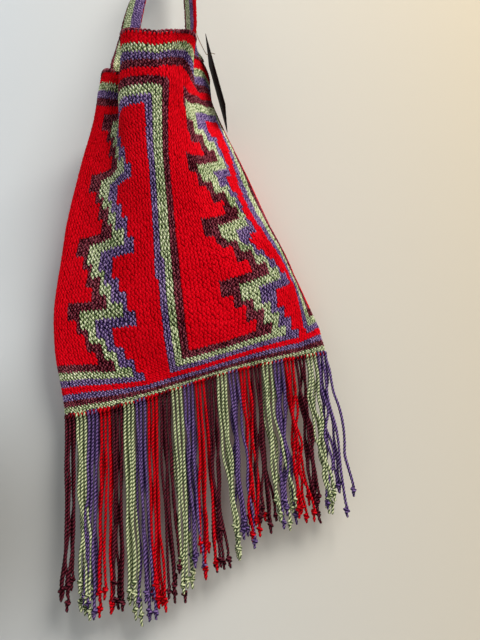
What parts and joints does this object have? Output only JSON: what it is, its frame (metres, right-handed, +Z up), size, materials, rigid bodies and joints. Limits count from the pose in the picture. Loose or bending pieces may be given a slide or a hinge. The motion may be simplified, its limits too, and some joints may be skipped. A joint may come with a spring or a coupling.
{
  "type": "bilum string bag",
  "caption": "Looped wool string bag hanging by its shoulder strap, with a stepped zigzag pattern, striped bands, a knotted cord fringe and a plain swing tag.",
  "frame": {"origin": "the point at the top of the strap's loop, on its inner face, where the strap bears on what the bag hangs from", "axes": "+Z up, +X to the bag's right as seen from the front, -Y to the front; the hanging bag is longest along Z and thinnest along Y"},
  "size_m": [0.2884, 0.1335, 0.8238],
  "materials": {
    "wool_body": "looped wool, matt; mostly red, with the meander and bands in maroon, sage green and purple",
    "wool_strap": "looped wool in four stripes of maroon, sage green, purple and red, matt",
    "wool_maroon": "twisted wool cord, matt",
    "wool_green": "twisted wool cord, matt",
    "wool_purple": "twisted wool cord, matt",
    "wool_red": "twisted wool cord, matt",
    "black_card": "black card, slightly satin",
    "tan_thread": "thin tan thread"
  },
  "bodies": {
    "bag": {"bag_body": "wool_body", "strap": "wool_strap", "fringe_bunch_01_maroon": "wool_maroon", "fringe_bunch_02_green": "wool_green", "fringe_bunch_03_purple": "wool_purple", "fringe_bunch_04_red": "wool_red", "fringe_bunch_05_maroon": "wool_maroon", "fringe_bunch_06_green": "wool_green", "fringe_bunch_07_purple": "wool_purple", "fringe_bunch_08_red": "wool_red", "fringe_bunch_09_maroon": "wool_maroon", "fringe_bunch_10_green": "wool_green", "fringe_bunch_11_purple": "wool_purple", "fringe_bunch_12_red": "wool_red", "fringe_bunch_13_maroon": "wool_maroon", "fringe_bunch_14_green": "wool_green", "fringe_bunch_15_purple": "wool_purple", "fringe_bunch_16_red": "wool_red", "fringe_bunch_17_maroon": "wool_maroon", "fringe_bunch_18_green": "wool_green", "fringe_bunch_19_purple": "wool_purple", "fringe_bunch_20_red": "wool_red", "fringe_bunch_21_maroon": "wool_maroon", "fringe_bunch_22_green": "wool_green", "fringe_bunch_23_purple": "wool_purple", "tag_thread": "tan_thread"},
    "tag": {"swing_tag": "black_card"}
  },
  "joints": [
    {"name": "tag_swing", "type": "hinge", "parent": "bag", "child": "tag", "pos_m": [0.035, -0.002, -0.218], "axis": [0, -1, 0], "range_deg": [0, 45]}
  ]
}
